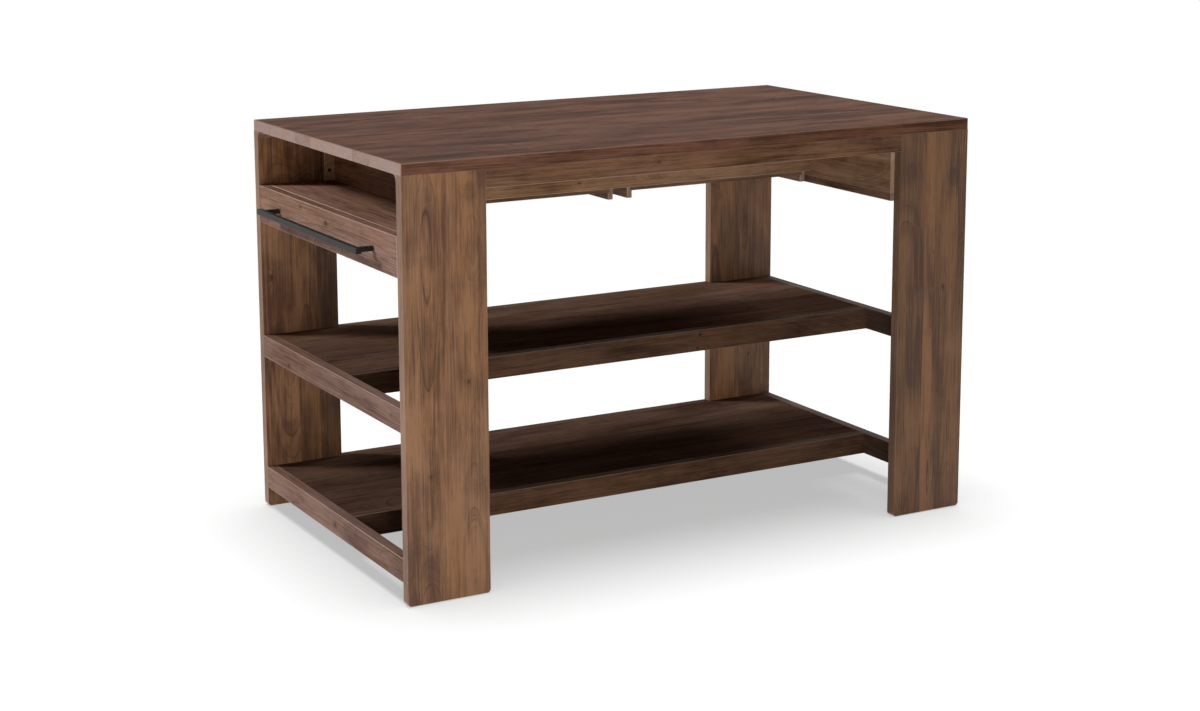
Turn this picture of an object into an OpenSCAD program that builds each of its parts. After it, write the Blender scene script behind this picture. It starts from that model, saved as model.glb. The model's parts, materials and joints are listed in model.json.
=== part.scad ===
// Kitchen island unit in solid timber: a thick worktop on four broad leg boards,
// two open shelves set back for knee room, an open niche at each end, a shallow
// drawer under the left niche and two wide drawers on the working side.
//
// Millimetres, +Z up, the floor at Z = 0. The origin is the middle of the overall
// footprint, pulls included. -Y is the seating side, +Y the working side,
// -X the end with the shallow drawer.

/* [Overall] */
// Length of the worktop
top_l = 1410; // [1150:10:1750]
// Depth of the worktop, seating side to working side
top_d = 815; // [670:5:1000]
// Height of the worktop above the floor
top_h = 914; // [880:2:1100]
// Thickness of the worktop
top_t = 25; // [18:1:40]
// Thickness of the leg boards, rails and drawer fronts
board_t = 24; // [18:1:30]
// Width of each leg board, along the length
leg_w = 187; // [150:1:230]
// Thickness of the felt pads under the legs
pad_t = 2; // [2:0.5:5]
// Diameter of the felt pads
pad_d = 14; // [12:1:18]
// Distance of the felt pads from the edges of a leg board
pad_inset = 30; // [15:1:50]

/* [Niches and drawer bay] */
// Height of the rail under the seating edge
seat_rail_h = 39; // [25:1:80]
// Clear height of the end niches
niche_h = 124; // [100:1:160]
// How far inside the edges of the legs the niches end, at the partition walls
wall_inset = 6; // [0:1:20]
// Thickness of the partition walls
wall_t = 16; // [12:1:20]
// Height of the cleats under the walls
cleat_h = 17; // [12:1:30]
// Width of the cleats under the walls
cleat_w = 24; // [20:1:30]
// Height of the rail under the right niche
niche_rail_h = 51; // [30:1:90]
// Thickness of the thin floors of niches and drawer bays
floor_t = 12; // [8:1:16]
// Depth of the grooves that hold the thin floors
floor_groove = 5; // [3:0.5:6]
// Thickness of the drawer guides
guide_t = 13; // [12:1:20]
// How far the guides hang below the thin floors
guide_drop = 17; // [8:1:30]
// Gap between the two middle guides
guide_gap = 37; // [20:1:60]
// Height of the rail under the working-side drawers
work_rail_h = 40; // [25:1:80]
// Width of the battens in the niche corners
batten_w = 24; // [18:1:30]
// Thickness of the battens in the niche corners
batten_t = 12; // [10:1:16]
// Radius of the coves under the worktop in the niche corners
cove_r = 15; // [6:1:16]

/* [Shelves] */
// Knee room: seating edge to the front of the shelves and the drawer bay
knee_d = 336; // [250:1:410]
// Height of the lower shelf surface
low_shelf_z = 98; // [80:1:160]
// Height of the middle shelf surface
mid_shelf_z = 413; // [300:1:500]
// Height of the shelf rails
shelf_rail_h = 51; // [40:1:70]
// Thickness of the shelf panels
shelf_t = 20; // [16:1:28]
// Side of the square battens under the shelf panels
shelf_batten = 22; // [15:1:24]

/* [Drawers] */
// Height of the end drawer front
end_front_h = 85; // [70:1:110]
// Height of the end drawer box above the lower edge of its front
end_box_lift = 16; // [8:1:24]
// Clear height above a working-side drawer box
work_box_clear = 16; // [6:1:40]
// Thickness of the drawer sides and backs
box_t = 12; // [10:1:15]
// Thickness of the drawer bottoms
bottom_t = 6; // [4:1:9]
// Height of the drawer bottoms above the lower edges of their sides
bottom_lift = 9; // [6:1:12]
// Depth of the grooves round the drawer bottoms
bottom_groove = 5; // [3:0.5:6]
// Height of the wooden runners of the end drawer
runner_h = 12; // [8:1:14]
// Height of the runners above the drawer bottom
runner_lift = 6; // [4:1:9]
// Depth of the runner grooves in the end drawer sides
runner_groove = 6; // [4:0.5:7]
// Gap round a drawer front
front_gap = 1.5; // [1:0.25:3]
// Gap beside a drawer box
side_gap = 1; // [0.5:0.25:2]
// Gap above and below what a drawer box runs on
run_gap = 0.3; // [0.2:0.1:0.8]
// Gap between a drawer box and what is behind it
rear_gap = 6; // [3:1:12]

/* [Pulls] */
// Side of the square bar
bar_s = 12; // [10:1:15]
// Reach of a pull from the drawer front
pull_reach = 45; // [36:1:55]
// Length of the bar on the end drawer
end_bar_l = 564; // [300:1:700]
// Length of the bars on the working-side drawers
work_bar_l = 300; // [160:1:380]
// Distance of a post from the end of its bar
post_inset = 14; // [0:1:30]
// Width of a post
post_w = 12; // [8:1:14]
// Height of a post
post_h = 10; // [8:1:12]

/* [Fasteners] */
// Diameter of the pull screws
pull_screw_d = 4; // [3:0.5:5]
// Diameter of the pull screw heads
pull_head_d = 9; // [7:0.5:12]
// Height of the pull screw heads
pull_head_h = 2.6; // [2:0.2:4]
// How far a pull screw reaches into its post
pull_screw_grip = 12; // [8:1:14]
// Diameter of the batten screws
wood_screw_d = 4; // [3:0.5:5]
// How far a batten screw reaches into its leg board
wood_screw_grip = 15; // [10:1:16]
// Diameter of the batten screw heads
wood_head_d = 8; // [6:0.5:10]
// Height of the batten screw heads
wood_head_h = 2.4; // [2:0.2:4]
// Depth of the batten screw heads below the face of their batten
wood_head_sink = 1; // [0:0.5:3]
// Distance of the batten screws from the ends of a batten
wood_screw_inset = 24; // [15:1:40]

/* [Hidden] */
// Radial clearance of a screw in its hole
hole_gap = 0.15;
// Clearance of a panel in its groove
groove_gap = 0.2;
// Gap between a fixed piece and a drawer front that closes over it
stop_gap = 0.5;
// Overlap that makes a cut break through cleanly
eps = 1;

leg_colour = "#8a664b";
top_colour = "#6f4f3e";
rail_colour = "#7a5a47";
shelf_colour = "#5b4033";
inner_colour = "#9a7048";
front_colour = "#8b6a55";
box_colour = "#b08d63";
metal_colour = "#2b2d2e";
screw_colour = "#8f8f8a";
felt_colour = "#3a332c";

// Outside faces of the island
x_left = (pull_reach - top_l) / 2;
x_right = x_left + top_l;
y_seat = -(pull_reach + top_d) / 2;
y_work = y_seat + top_d;

// Inside faces of the legs and end boards
x_in_left = x_left + board_t;
x_in_right = x_right - board_t;
y_in_seat = y_seat + board_t;
y_in_work = y_work - board_t;
y_mid = (y_in_seat + y_in_work) / 2;
clear_d = y_in_work - y_in_seat;

// Edges of the legs that face each other along the length
x_leg_left = x_left + leg_w;
x_leg_right = x_right - leg_w;
span_l = x_leg_right - x_leg_left;

// Heights
under_top = top_h - top_t;
floor_top = under_top - niche_h;
floor_low = floor_top - floor_t;

// Partition walls, from the niches to the drawer bay between them
niche_d = leg_w - wall_inset;
x_wall_left = x_left + niche_d;
x_wall_right = x_right - niche_d;
x_bay_left = x_wall_left + wall_t;
x_bay_right = x_wall_right - wall_t;
x_bay_mid = (x_bay_left + x_bay_right) / 2;

// Drawer bay, behind the knee room and its back board
y_bay = y_seat + knee_d + board_t;
guide_l = y_in_work - stop_gap - y_bay;
bay_w = (x_bay_right - x_bay_left - guide_gap) / 2 - 2 * guide_t;

// Working-side drawers
work_front_w = (span_l - 3 * front_gap) / 2;
work_front_z = floor_low + front_gap;
work_front_h = under_top - front_gap - work_front_z;
work_box_w = bay_w - 2 * side_gap;
work_box_l = y_in_work - y_bay - rear_gap;
work_box_z = floor_top + run_gap;
work_box_h = niche_h - run_gap - work_box_clear;

// End drawer, between the left legs and in front of the left wall and its cleat
end_front_w = clear_d - 2 * front_gap;
end_front_z = floor_top - end_front_h;
end_box_w = clear_d - 2 * side_gap;
end_box_l = x_bay_left - cleat_w - x_in_left - rear_gap;
end_box_z = end_front_z + end_box_lift;
end_box_h = floor_low - side_gap - end_box_z;
runner_z = end_box_z + bottom_lift + bottom_t + runner_lift;
runner_w = runner_groove + side_gap / 2;

// A board from its lowest corner and its size
module board(x, y, z, dx, dy, dz) {
  translate([x, y, z]) cube([dx, dy, dz]);
}

// A round rod along Y, from y towards +Y
module rod_y(x, y, z, d, l) {
  translate([x, y, z]) rotate([-90, 0, 0]) cylinder(d = d, h = l, $fn = 32);
}

// ---- Worktop, legs and rails ----

module worktop() {
  color(top_colour) board(x_left, y_seat, under_top, top_l, top_d, top_t);
}

// Places its children at a batten of a niche: X from its left edge, Y from the inside
// face of the leg towards the niche, Z from the niche floor
module at_batten(left, seat) {
  translate([left ? x_wall_left - batten_w : x_wall_right, seat ? y_in_seat : y_in_work, floor_top])
    scale([1, seat ? 1 : -1, 1])
      children();
}

// Rods along a batten's screws, from the depth y into the niche
module batten_rods(y, d, l) {
  for (z = [wood_screw_inset, niche_h - wood_screw_inset])
    rod_y(batten_w / 2, y, z, d, l);
}

// A leg board with the groove for its niche floor and the pilot holes of its batten
module leg(left, seat) {
  color(leg_colour)
    difference() {
      board(left ? x_left : x_leg_right, seat ? y_seat : y_in_work, pad_t,
            leg_w, board_t, under_top - pad_t);
      board(left ? x_in_left : x_wall_right, (seat ? y_in_seat : y_in_work) - floor_groove,
            floor_low - groove_gap, niche_d - board_t, 2 * floor_groove, floor_t + 2 * groove_gap);
      at_batten(left, seat)
        batten_rods(-wood_screw_grip - hole_gap, wood_screw_d + 2 * hole_gap, wood_screw_grip + eps);
    }
}

module leg_seat_left() {
  leg(true, true);
}

module leg_seat_right() {
  leg(false, true);
}

module leg_work_left() {
  leg(true, false);
}

module leg_work_right() {
  leg(false, false);
}

module seat_rail() {
  color(rail_colour)
    board(x_leg_left, y_seat, under_top - seat_rail_h, span_l, board_t, seat_rail_h);
}

module work_rail() {
  color(rail_colour)
    board(x_leg_left, y_in_work, floor_low - work_rail_h, span_l, board_t, work_rail_h);
}

// Felt pads, two under each leg
module felt_pads() {
  color(felt_colour)
    for (x = [x_left, x_leg_right], dx = [pad_inset, leg_w - pad_inset], y = [y_seat, y_in_work])
      translate([x + dx, y + board_t / 2, 0]) cylinder(d = pad_d, h = pad_t, $fn = 48);
}

// ---- Niches ----

module wall(x) {
  color(inner_colour) board(x, y_in_seat, floor_low, wall_t, clear_d, niche_h + floor_t);
}

module wall_left() {
  wall(x_wall_left);
}

module wall_right() {
  wall(x_bay_right);
}

// Cleats under the walls, flush with them in the bay
module wall_cleats() {
  color(rail_colour)
    for (x = [x_bay_left - cleat_w, x_bay_right])
      board(x, y_in_seat, floor_low - cleat_h, cleat_w, clear_d, cleat_h);
}

// A niche floor let into the grooves of two legs
module niche_floor(x, l) {
  reach = floor_groove - groove_gap;
  color(shelf_colour)
    board(x, y_in_seat - reach, floor_low, l, clear_d + 2 * reach, floor_t);
}

module niche_floor_left() {
  niche_floor(x_in_left + stop_gap, niche_d - board_t - stop_gap);
}

module niche_floor_right() {
  niche_floor(x_wall_right, niche_d - board_t);
}

module niche_rail_right() {
  color(rail_colour)
    board(x_in_right, y_in_seat, floor_top - niche_rail_h, board_t, clear_d, niche_rail_h);
}

// Upright battens that hold the walls to the legs
module niche_battens() {
  head_y = batten_t - wood_head_sink - wood_head_h;
  color(inner_colour)
    for (left = [true, false], seat = [true, false])
      at_batten(left, seat)
        difference() {
          cube([batten_w, batten_t, niche_h]);
          batten_rods(-eps, wood_screw_d + 2 * hole_gap, batten_t + 2 * eps);
          batten_rods(head_y, wood_head_d + 2 * hole_gap, batten_t - head_y + eps);
        }
}

// Screws sunk in the battens
module batten_screws() {
  head_y = batten_t - wood_head_sink - wood_head_h;
  color(screw_colour)
    for (left = [true, false], seat = [true, false])
      at_batten(left, seat) {
        batten_rods(-wood_screw_grip, wood_screw_d, wood_screw_grip + head_y);
        batten_rods(head_y, wood_head_d, wood_head_h);
      }
}

// One cove along +X, its square corner on the X axis
module cove(l) {
  rotate([90, 0, 90])
    linear_extrude(l)
      difference() {
        translate([0, -cove_r]) square(cove_r);
        translate([cove_r, -cove_r]) circle(r = cove_r, $fn = 48);
      }
}

// Coves between the worktop and the legs, from the open end of a niche to its battens
module corner_coves() {
  l = niche_d - batten_w;
  color(front_colour)
    for (x = [x_left, x_right - l], seat = [true, false])
      translate([x, seat ? y_in_seat : y_in_work, under_top])
        scale([1, seat ? 1 : -1, 1])
          cove(l);
}

// ---- Drawer bay ----

module bay_back_board() {
  color(inner_colour)
    board(x_bay_left, y_bay - board_t, floor_top, x_bay_right - x_bay_left, board_t, niche_h);
}

// An upright drawer guide, grooved for a bay floor on its left or right side
module guide(x, groove_right) {
  color(inner_colour)
    difference() {
      board(x, y_bay, floor_low - guide_drop, guide_t, guide_l, under_top - floor_low + guide_drop);
      board(groove_right ? x + guide_t - floor_groove : x - floor_groove, y_bay - eps,
            floor_low - groove_gap, 2 * floor_groove, guide_l + 2 * eps, floor_t + 2 * groove_gap);
    }
}

module guide_outer_left() {
  guide(x_bay_left, true);
}

module guide_inner_left() {
  guide(x_bay_mid - guide_gap / 2 - guide_t, false);
}

module guide_inner_right() {
  guide(x_bay_mid + guide_gap / 2, true);
}

module guide_outer_right() {
  guide(x_bay_right - guide_t, false);
}

// Upright between the inner guides, behind the meeting edges of the two drawer fronts
module bay_stile() {
  color(inner_colour)
    board(x_bay_mid - guide_gap / 2, y_in_work - stop_gap - board_t, floor_low - guide_drop,
          guide_gap, board_t, under_top - floor_low + guide_drop);
}

// Left edge of the clear width of a drawer bay
function bay_x(left) = guide_t + (left ? x_bay_left : x_bay_mid + guide_gap / 2);

module bay_floor(left) {
  reach = floor_groove - groove_gap;
  color(shelf_colour)
    board(bay_x(left) - reach, y_bay, floor_low, bay_w + 2 * reach, guide_l, floor_t);
}

module bay_floor_left() {
  bay_floor(true);
}

module bay_floor_right() {
  bay_floor(false);
}

// ---- Shelves, each placed by the height of its surface ----

module shelf_panel(z) {
  color(shelf_colour)
    board(x_in_left, y_bay, z - shelf_t, x_in_right - x_in_left, y_in_work - y_bay, shelf_t);
}

module shelf_seat_rail(z) {
  color(rail_colour)
    board(x_in_left, y_bay - board_t, z - shelf_rail_h, x_in_right - x_in_left, board_t, shelf_rail_h);
}

module shelf_work_rail(z) {
  color(rail_colour)
    board(x_leg_left, y_in_work, z - shelf_rail_h, span_l, board_t, shelf_rail_h);
}

module shelf_end_rail(z, x) {
  color(front_colour) board(x, y_in_seat, z - shelf_rail_h, board_t, clear_d, shelf_rail_h);
}

// Battens under the ends and the middle of a shelf panel
module shelf_battens(z) {
  color(inner_colour)
    for (x = [x_in_left, (x_in_left + x_in_right - shelf_batten) / 2, x_in_right - shelf_batten])
      board(x, y_bay, z - shelf_t - shelf_batten, shelf_batten, y_in_work - y_bay, shelf_batten);
}

module mid_shelf_panel() {
  shelf_panel(mid_shelf_z);
}

module mid_seat_rail() {
  shelf_seat_rail(mid_shelf_z);
}

module mid_work_rail() {
  shelf_work_rail(mid_shelf_z);
}

module mid_end_rail_left() {
  shelf_end_rail(mid_shelf_z, x_left);
}

module mid_end_rail_right() {
  shelf_end_rail(mid_shelf_z, x_in_right);
}

module mid_shelf_battens() {
  shelf_battens(mid_shelf_z);
}

module low_shelf_panel() {
  shelf_panel(low_shelf_z);
}

module low_seat_rail() {
  shelf_seat_rail(low_shelf_z);
}

module low_work_rail() {
  shelf_work_rail(low_shelf_z);
}

module low_end_rail_left() {
  shelf_end_rail(low_shelf_z, x_left);
}

module low_end_rail_right() {
  shelf_end_rail(low_shelf_z, x_in_right);
}

module low_shelf_battens() {
  shelf_battens(low_shelf_z);
}

// ---- Pieces of a drawer ----
// A drawer is drawn with the back of its front in the plane Y = 0, the front towards
// +Y, the box towards -Y, and the middle of the box at X = 0.

// Places of the two posts of a bar, from its middle
function post_places(bar_l) = [-1, 1] * (bar_l / 2 - post_inset - post_w / 2);

// A drawer bottom, with slack added all round to cut the grooves it lies in
module bottom_panel(box_w, box_l, z, slack) {
  reach = bottom_groove - groove_gap + slack;
  board(-box_w / 2 + box_t - reach, box_t - box_l - reach, z + bottom_lift - slack,
        box_w - 2 * box_t + 2 * reach, box_l - box_t + 2 * reach, bottom_t + 2 * slack);
}

module drawer_front(dx, w, z, h, bar_l, box_w, box_l, box_z) {
  color(front_colour)
    difference() {
      board(dx - w / 2, 0, z, w, board_t, h);
      bottom_panel(box_w, box_l, box_z, groove_gap);
      for (x = post_places(bar_l))
        rod_y(dx + x, -eps, z + h / 2, pull_screw_d + 2 * hole_gap, board_t + 2 * eps);
    }
}

// A side at low X (-1) or high X (1), less what its children cut away
module drawer_side(end, box_w, box_l, z, h) {
  color(box_colour)
    difference() {
      board(end * (box_w - box_t) / 2 - box_t / 2, -box_l, z, box_t, box_l, h);
      bottom_panel(box_w, box_l, z, groove_gap);
      children();
    }
}

module drawer_back(box_w, box_l, z, h) {
  color(box_colour)
    difference() {
      board(-box_w / 2 + box_t, -box_l, z, box_w - 2 * box_t, box_t, h);
      bottom_panel(box_w, box_l, z, groove_gap);
    }
}

module drawer_bottom(box_w, box_l, z) {
  color(box_colour) bottom_panel(box_w, box_l, z, 0);
}

// A square bar on two posts, its middle at the height z
module pull(dx, z, bar_l) {
  color(metal_colour)
    difference() {
      union() {
        board(dx - bar_l / 2, board_t + pull_reach - bar_s, z - bar_s / 2, bar_l, bar_s, bar_s);
        for (x = post_places(bar_l))
          board(dx + x - post_w / 2, board_t, z - post_h / 2,
                post_w, pull_reach - bar_s + eps, post_h);
      }
      for (x = post_places(bar_l))
        rod_y(dx + x, board_t - eps, z, pull_screw_d + 2 * hole_gap, pull_screw_grip + 2 * eps);
    }
}

module pull_screws(dx, z, bar_l) {
  color(screw_colour)
    for (x = post_places(bar_l)) {
      rod_y(dx + x, 0, z, pull_screw_d, board_t + pull_screw_grip);
      rod_y(dx + x, -pull_head_h, z, pull_head_d, pull_head_h);
    }
}

// ---- End drawer, hung on wooden runners ----

module place_end() {
  translate([x_in_left, y_mid, 0]) rotate([0, 0, 90]) children();
}

module end_drawer_runners() {
  color(inner_colour)
    place_end()
      for (end = [-1, 1])
        board(end * (clear_d - runner_w) / 2 - runner_w / 2, -end_box_l, runner_z,
              runner_w, end_box_l - stop_gap, runner_h);
}

module end_side(end) {
  place_end()
    drawer_side(end, end_box_w, end_box_l, end_box_z, end_box_h)
      board(end * end_box_w / 2 - runner_groove, -end_box_l - eps, runner_z - run_gap,
            2 * runner_groove, end_box_l + 2 * eps, runner_h + 2 * run_gap);
}

module end_drawer_front() {
  place_end()
    drawer_front(0, end_front_w, end_front_z, end_front_h, end_bar_l, end_box_w, end_box_l, end_box_z);
}

module end_drawer_side_seat() {
  end_side(-1);
}

module end_drawer_side_work() {
  end_side(1);
}

module end_drawer_back() {
  place_end() drawer_back(end_box_w, end_box_l, end_box_z, end_box_h);
}

module end_drawer_bottom() {
  place_end() drawer_bottom(end_box_w, end_box_l, end_box_z);
}

module end_drawer_pull() {
  place_end() pull(0, end_front_z + end_front_h / 2, end_bar_l);
}

module end_drawer_screws() {
  place_end() pull_screws(0, end_front_z + end_front_h / 2, end_bar_l);
}

// ---- Working-side drawers, in the left and right bay ----

module place_work(left) {
  translate([bay_x(left) + bay_w / 2, y_in_work, 0]) children();
}

// Middle of a front, from the middle of its box
function front_dx(left) =
  x_bay_mid + (left ? -1 : 1) * (work_front_w + front_gap) / 2 - bay_x(left) - bay_w / 2;

module work_front(left) {
  place_work(left)
    drawer_front(front_dx(left), work_front_w, work_front_z, work_front_h, work_bar_l,
                 work_box_w, work_box_l, work_box_z);
}

module work_side(left, end) {
  place_work(left) drawer_side(end, work_box_w, work_box_l, work_box_z, work_box_h);
}

module work_back(left) {
  place_work(left) drawer_back(work_box_w, work_box_l, work_box_z, work_box_h);
}

module work_bottom(left) {
  place_work(left) drawer_bottom(work_box_w, work_box_l, work_box_z);
}

module work_pull(left) {
  place_work(left) pull(front_dx(left), work_front_z + work_front_h / 2, work_bar_l);
}

module work_screws(left) {
  place_work(left) pull_screws(front_dx(left), work_front_z + work_front_h / 2, work_bar_l);
}

module left_drawer_front() {
  work_front(true);
}

module left_drawer_side_left() {
  work_side(true, -1);
}

module left_drawer_side_right() {
  work_side(true, 1);
}

module left_drawer_back() {
  work_back(true);
}

module left_drawer_bottom() {
  work_bottom(true);
}

module left_drawer_pull() {
  work_pull(true);
}

module left_drawer_screws() {
  work_screws(true);
}

module right_drawer_front() {
  work_front(false);
}

module right_drawer_side_left() {
  work_side(false, -1);
}

module right_drawer_side_right() {
  work_side(false, 1);
}

module right_drawer_back() {
  work_back(false);
}

module right_drawer_bottom() {
  work_bottom(false);
}

module right_drawer_pull() {
  work_pull(false);
}

module right_drawer_screws() {
  work_screws(false);
}

worktop();
leg_seat_left();
leg_seat_right();
leg_work_left();
leg_work_right();
seat_rail();
work_rail();
bay_back_board();
wall_left();
wall_right();
wall_cleats();
niche_floor_left();
niche_floor_right();
niche_rail_right();
niche_battens();
batten_screws();
corner_coves();
guide_outer_left();
guide_inner_left();
guide_inner_right();
guide_outer_right();
bay_stile();
bay_floor_left();
bay_floor_right();
mid_shelf_panel();
mid_seat_rail();
mid_work_rail();
mid_end_rail_left();
mid_end_rail_right();
mid_shelf_battens();
low_shelf_panel();
low_seat_rail();
low_work_rail();
low_end_rail_left();
low_end_rail_right();
low_shelf_battens();
end_drawer_runners();
felt_pads();
end_drawer_front();
end_drawer_side_seat();
end_drawer_side_work();
end_drawer_back();
end_drawer_bottom();
end_drawer_pull();
end_drawer_screws();
left_drawer_front();
left_drawer_side_left();
left_drawer_side_right();
left_drawer_back();
left_drawer_bottom();
left_drawer_pull();
left_drawer_screws();
right_drawer_front();
right_drawer_side_left();
right_drawer_side_right();
right_drawer_back();
right_drawer_bottom();
right_drawer_pull();
right_drawer_screws();
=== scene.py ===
"""Kitchen island unit in solid wood: finishes, softened edges and a plain stage round the CAD frame."""

import json
import math
import random
from typing import NamedTuple

import bmesh
import bpy
from bpy.props import FloatProperty, FloatVectorProperty, IntProperty, PointerProperty
from mathutils import Matrix, Vector

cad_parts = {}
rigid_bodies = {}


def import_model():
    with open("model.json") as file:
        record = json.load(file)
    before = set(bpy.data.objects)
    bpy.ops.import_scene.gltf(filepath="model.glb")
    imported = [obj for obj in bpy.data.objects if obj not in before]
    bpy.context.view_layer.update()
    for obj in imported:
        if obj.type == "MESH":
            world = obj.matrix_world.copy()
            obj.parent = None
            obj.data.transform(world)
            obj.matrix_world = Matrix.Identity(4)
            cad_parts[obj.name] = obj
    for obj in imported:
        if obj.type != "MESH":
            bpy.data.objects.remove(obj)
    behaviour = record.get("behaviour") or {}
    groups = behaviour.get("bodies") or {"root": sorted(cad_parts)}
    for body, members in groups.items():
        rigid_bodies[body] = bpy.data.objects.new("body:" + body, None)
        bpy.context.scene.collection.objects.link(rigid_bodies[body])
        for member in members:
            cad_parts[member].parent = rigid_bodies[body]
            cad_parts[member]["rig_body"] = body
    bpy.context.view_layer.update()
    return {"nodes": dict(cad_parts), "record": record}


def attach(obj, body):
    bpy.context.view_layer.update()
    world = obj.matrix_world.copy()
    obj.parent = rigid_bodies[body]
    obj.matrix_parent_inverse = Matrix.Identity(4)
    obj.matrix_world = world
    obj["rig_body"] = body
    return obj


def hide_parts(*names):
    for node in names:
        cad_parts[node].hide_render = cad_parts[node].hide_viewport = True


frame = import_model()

bl_info = {
    "name": "Kitchen Island Unit",
    "version": (1, 0, 0),
    "blender": (4, 5, 0),
    "location": "View3D > Sidebar > Island",
    "description": "Makes the boards, pulls and fixings of a kitchen island unit from its CAD frame",
    "category": "Add Mesh",
}

# Metres, unless a line says otherwise.
SAME_POINT = 1e-5       # CAD points nearer than this are one point
SLIVER = 5e-6           # points that the easing leaves nearer than this are merged
ON_BOX = 2e-5           # a face nearer than this to a side of its box lies on that side
CORNER = 1.2            # radians: edges that turn more than this are corners
FLAT = 0.5              # degrees: faces that bend less than this are one face
BATTEN_ARRIS = 0.0008
COVE_ARRIS = 0.0002
SCREW_RIM = 0.0003
GLIDE_RIM = 0.0006
LEG_SIDE_SHEEN = 0.45         # share of painted sheen on the narrow sides of a leg, given in the end-grain colour

WHITE = (1.0, 1.0, 1.0)
FLOOR_GREY = (0.25, 0.25, 0.25)


def shade(red, green, blue):
    """A colour written as it looks on screen, 0 to 255, as Blender's linear colour."""
    return tuple(
        c / 12.92 if c <= 0.04045 else ((c + 0.055) / 1.055) ** 2.4
        for c in (red / 255, green / 255, blue / 255)
    )


def tinted(colour, share, lift=0.0):
    """A linear colour times share, plus lift."""
    return tuple(min(1.0, c * share + lift) for c in colour)


# ---------------------------------------------------------------------------
# What a user would change
# ---------------------------------------------------------------------------


def colour_setting(name, description, default):
    return FloatVectorProperty(
        name=name, description=description, subtype="COLOR", size=3, min=0, max=1, default=default
    )


class IslandFinish(bpy.types.PropertyGroup):
    """Colours of the wood, metal and felt."""

    top_pale: colour_setting("Worktop pale", "Early wood of the worktop", shade(117, 81, 65))
    top_deep: colour_setting("Worktop deep", "Late wood of the worktop", shade(66, 43, 33))
    leg_pale: colour_setting("Leg pale", "Early wood of the legs", shade(139, 101, 72))
    leg_deep: colour_setting("Leg deep", "Late wood of the legs", shade(81, 54, 38))
    rail_pale: colour_setting("Rail pale", "Early wood of the long rails", shade(126, 94, 74))
    rail_deep: colour_setting("Rail deep", "Late wood of the long rails", shade(72, 50, 39))
    # The end boards' colours are paler and pinker than the wood itself: a painted sheen for their faces
    # towards the light at the left.
    end_pale: colour_setting("End pale", "Early wood of the boards across the ends", shade(146, 115, 102))
    end_deep: colour_setting("End deep", "Late wood of the boards across the ends", shade(92, 67, 58))
    shelf_pale: colour_setting("Shelf pale", "Early wood of the shelves", shade(118, 91, 77))
    shelf_deep: colour_setting("Shelf deep", "Late wood of the shelves", shade(66, 46, 37))
    inner_pale: colour_setting("Inner pale", "Early wood of the inner framing", shade(132, 102, 78))
    inner_deep: colour_setting("Inner deep", "Late wood of the inner framing", shade(80, 55, 41))
    box_pale: colour_setting("Drawer box pale", "Early wood of the drawer boxes", shade(168, 138, 104))
    box_deep: colour_setting("Drawer box deep", "Late wood of the drawer boxes", shade(124, 94, 66))
    pull: colour_setting("Pulls", "Powder coat on the bar pulls", shade(29, 30, 30))
    screw: colour_setting("Screws", "Blackened steel of the screws", shade(44, 42, 40))
    felt: colour_setting("Felt", "Felt glides under the legs", shade(62, 52, 45))


class IslandWork(bpy.types.PropertyGroup):
    """Sizes that the maker works to."""

    arris: FloatProperty(
        name="Board arris", description="How far a board's edges are eased",
        default=0.0012, min=0.0002, max=0.004, unit="LENGTH", precision=4,
    )
    joint_arris: FloatProperty(
        name="Joint arris", description="How far edges are eased where two boards meet flush",
        default=0.00025, min=0.0001, max=0.002, unit="LENGTH", precision=5,
    )
    top_arris: FloatProperty(
        name="Worktop arris", description="How far the worktop's edges are eased",
        default=0.0018, min=0.0002, max=0.006, unit="LENGTH", precision=4,
    )
    pull_arris: FloatProperty(
        name="Pull arris", description="How far the edges of the bar pulls are eased",
        default=0.0008, min=0.0002, max=0.003, unit="LENGTH", precision=4,
    )
    foot: FloatProperty(
        name="Foot rounding", description="Radius of the low corners of the leg boards",
        default=0.008, min=0.002, max=0.02, unit="LENGTH", precision=4,
    )
    stave: FloatProperty(
        name="Stave width", description="Usual width of the staves that a wide board is glued up from",
        default=0.088, min=0.04, max=0.3, unit="LENGTH", precision=3,
    )
    ring: FloatProperty(
        name="Growth ring", description="Usual distance between two growth rings",
        default=0.0075, min=0.002, max=0.03, unit="LENGTH", precision=4,
    )
    seed: IntProperty(name="Grain seed", description="Another number gives other boards", default=7, min=0)


class IslandStage(bpy.types.PropertyGroup):
    """The studio."""

    floor_radius: FloatProperty(
        name="Floor radius", description="Radius of the round floor",
        default=9.0, min=2, max=40, unit="LENGTH",
    )
    key: FloatProperty(
        name="Key light", description="Light from the upper left, behind", default=2.3, min=0, max=10
    )
    side: FloatProperty(
        name="Side light", description="Light from the upper right, behind", default=0.9, min=0, max=10
    )
    fill: FloatProperty(
        name="Fill light", description="Power of the low lamp in front, in watts", default=68, min=0, max=1000
    )
    overhead: FloatProperty(
        name="Floor light", description="Light on the floor only", default=6.8, min=0, max=20
    )
    ambient: FloatProperty(
        name="Ambient", description="Light from all round", default=0.03, min=0, max=2
    )


# ---------------------------------------------------------------------------
# Shader nodes as expressions
# ---------------------------------------------------------------------------


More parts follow.
